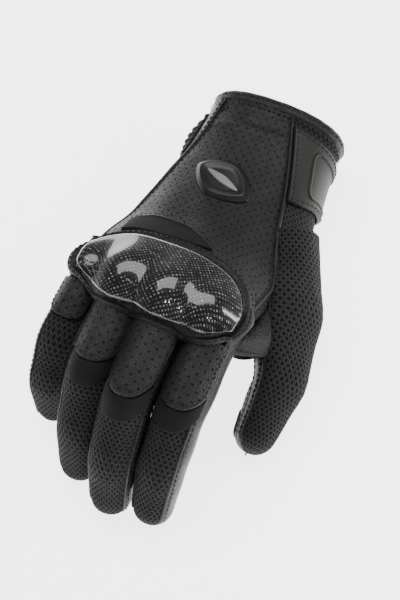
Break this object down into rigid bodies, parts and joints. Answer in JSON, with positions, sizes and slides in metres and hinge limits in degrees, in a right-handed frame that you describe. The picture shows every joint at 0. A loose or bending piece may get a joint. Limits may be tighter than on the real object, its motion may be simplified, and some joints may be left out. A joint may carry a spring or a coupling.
{
  "type": "riding glove",
  "caption": "Short-cuff riding glove for the right hand with a hard knuckle guard, mesh fingers that bend at every joint, and a wrist strap that peels open.",
  "frame": {"origin": "centre region of the palm heel pad's flat face, the face the glove lies on", "axes": "+Y to the fingertips, +Z out of the back of the hand, -X the thumb side"},
  "size_m": [0.1276, 0.2292, 0.0812],
  "materials": {
    "perforated_leather": "satin grain with punched holes",
    "leather": "satin grain",
    "air_mesh": "open knitted mesh",
    "carbon_weave": "woven fibre under clear coat",
    "foam": "closed-cell foam",
    "stretch_insert": "smooth stretch sheet",
    "badge_rubber": "satin moulded",
    "badge_bar": "satin grey",
    "lining": "tricot",
    "strap_synthetic": "moulded synthetic",
    "hook_and_loop": "hook and loop",
    "touch_leather": "smooth"
  },
  "bodies": {
    "hand": {"back_panel": "perforated_leather", "palm_panel": "leather", "thumb_side_mesh": "air_mesh", "outer_side_panel": "leather", "thumb_gusset": "air_mesh", "flex_insert": "stretch_insert", "guard_surround": "leather", "knuckle_guard": "carbon_weave", "knuckle_foam": "foam", "wrist_badge": "badge_rubber", "badge_inlay": "badge_bar", "palm_heel_patch": "leather", "heel_foam": "foam", "loop_patch": "hook_and_loop", "cuff_binding": "leather", "hand_lining": "lining"},
    "wrist_strap": {"strap_tab": "strap_synthetic", "strap_moulding": "strap_synthetic", "hook_patch": "hook_and_loop"},
    "index_base": {"index_base_back": "air_mesh", "index_base_palm": "leather", "index_tongue": "leather", "index_band": "stretch_insert"},
    "index_mid": {"index_mid_back": "air_mesh", "index_mid_palm": "leather"},
    "index_tip": {"index_tip_back": "air_mesh", "index_tip_palm": "leather", "index_touch_pad": "touch_leather"},
    "middle_base": {"middle_base_back": "air_mesh", "middle_base_palm": "leather", "middle_tongue": "leather", "middle_band": "stretch_insert"},
    "middle_mid": {"middle_mid_back": "air_mesh", "middle_mid_palm": "leather"},
    "middle_tip": {"middle_tip_back": "air_mesh", "middle_tip_palm": "leather"},
    "ring_base": {"ring_base_back": "air_mesh", "ring_base_palm": "leather", "ring_tongue": "leather", "ring_band": "stretch_insert"},
    "ring_mid": {"ring_mid_back": "air_mesh", "ring_mid_palm": "leather"},
    "ring_tip": {"ring_tip_back": "air_mesh", "ring_tip_palm": "leather"},
    "pinky_base": {"pinky_base_back": "air_mesh", "pinky_base_palm": "leather", "pinky_tongue": "leather"},
    "pinky_mid": {"pinky_mid_back": "air_mesh", "pinky_mid_palm": "leather"},
    "pinky_tip": {"pinky_tip_back": "air_mesh", "pinky_tip_palm": "leather"},
    "thumb_base": {"thumb_base_back": "air_mesh", "thumb_base_palm": "leather"},
    "thumb_tip": {"thumb_tip_back": "air_mesh", "thumb_tip_palm": "leather", "thumb_touch_pad": "touch_leather"}
  },
  "joints": [
    {"name": "index_knuckle", "type": "hinge", "parent": "hand", "child": "index_base", "pos_m": [-0.0355, 0.054, 0.0535], "axis": [-0.9996, -0.0297, 0], "range_deg": [-8, 50]},
    {"name": "index_middle", "type": "hinge", "parent": "index_base", "child": "index_mid", "pos_m": [-0.03681, 0.09815, 0.04491], "axis": [-0.9996, -0.0297, 0], "range_deg": [-30, 45]},
    {"name": "index_end", "type": "hinge", "parent": "index_mid", "child": "index_tip", "pos_m": [-0.03747, 0.1204, 0.02962], "axis": [-0.9996, -0.0297, 0], "range_deg": [-20, 30]},
    {"name": "middle_knuckle", "type": "hinge", "parent": "hand", "child": "middle_base", "pos_m": [-0.0115, 0.056, 0.0596], "axis": [-0.9992, -0.0401, 0], "range_deg": [-8, 50]},
    {"name": "middle_middle", "type": "hinge", "parent": "middle_base", "child": "middle_mid", "pos_m": [-0.01345, 0.10448, 0.05278], "axis": [-0.9992, -0.0401, 0], "range_deg": [-30, 45]},
    {"name": "middle_end", "type": "hinge", "parent": "middle_mid", "child": "middle_tip", "pos_m": [-0.01436, 0.12711, 0.0331], "axis": [-0.9992, -0.0401, 0], "range_deg": [-20, 30]},
    {"name": "ring_knuckle", "type": "hinge", "parent": "hand", "child": "ring_base", "pos_m": [0.013, 0.054, 0.0573], "axis": [-0.9982, -0.0593, 0], "range_deg": [-8, 50]},
    {"name": "ring_middle", "type": "hinge", "parent": "ring_base", "child": "ring_mid", "pos_m": [0.01036, 0.09848, 0.05104], "axis": [-0.9982, -0.0593, 0], "range_deg": [-30, 45]},
    {"name": "ring_end", "type": "hinge", "parent": "ring_mid", "child": "ring_tip", "pos_m": [0.00913, 0.11909, 0.03212], "axis": [-0.9982, -0.0593, 0], "range_deg": [-20, 30]},
    {"name": "pinky_knuckle", "type": "hinge", "parent": "hand", "child": "pinky_base", "pos_m": [0.036, 0.05, 0.0511], "axis": [-0.9995, 0.0314, 0], "range_deg": [-8, 50]},
    {"name": "pinky_middle", "type": "hinge", "parent": "pinky_base", "child": "pinky_mid", "pos_m": [0.03712, 0.08554, 0.04547], "axis": [-0.9995, 0.0314, 0], "range_deg": [-30, 45]},
    {"name": "pinky_end", "type": "hinge", "parent": "pinky_mid", "child": "pinky_tip", "pos_m": [0.0376, 0.10095, 0.02978], "axis": [-0.9995, 0.0314, 0], "range_deg": [-20, 30]},
    {"name": "thumb_knuckle", "type": "hinge", "parent": "hand", "child": "thumb_base", "pos_m": [-0.05667, 0.01934, 0.02573], "axis": [0.2253, 0.2573, 0.9397], "range_deg": [-12, 20]},
    {"name": "thumb_end", "type": "hinge", "parent": "thumb_base", "child": "thumb_tip", "pos_m": [-0.06531, 0.05352, 0.01844], "axis": [0.2253, 0.2573, 0.9397], "range_deg": [-50, 15]},
    {"name": "strap_peel", "type": "hinge", "parent": "hand", "child": "wrist_strap", "pos_m": [-0.024, -0.0515, 0.0505], "axis": [0, 1, 0], "range_deg": [0, 110]}
  ],
  "couplings": [
    {"joint": "index_end", "follows": "index_middle", "ratio": 0.66},
    {"joint": "middle_end", "follows": "middle_middle", "ratio": 0.66},
    {"joint": "ring_end", "follows": "ring_middle", "ratio": 0.66},
    {"joint": "pinky_end", "follows": "pinky_middle", "ratio": 0.66}
  ]
}
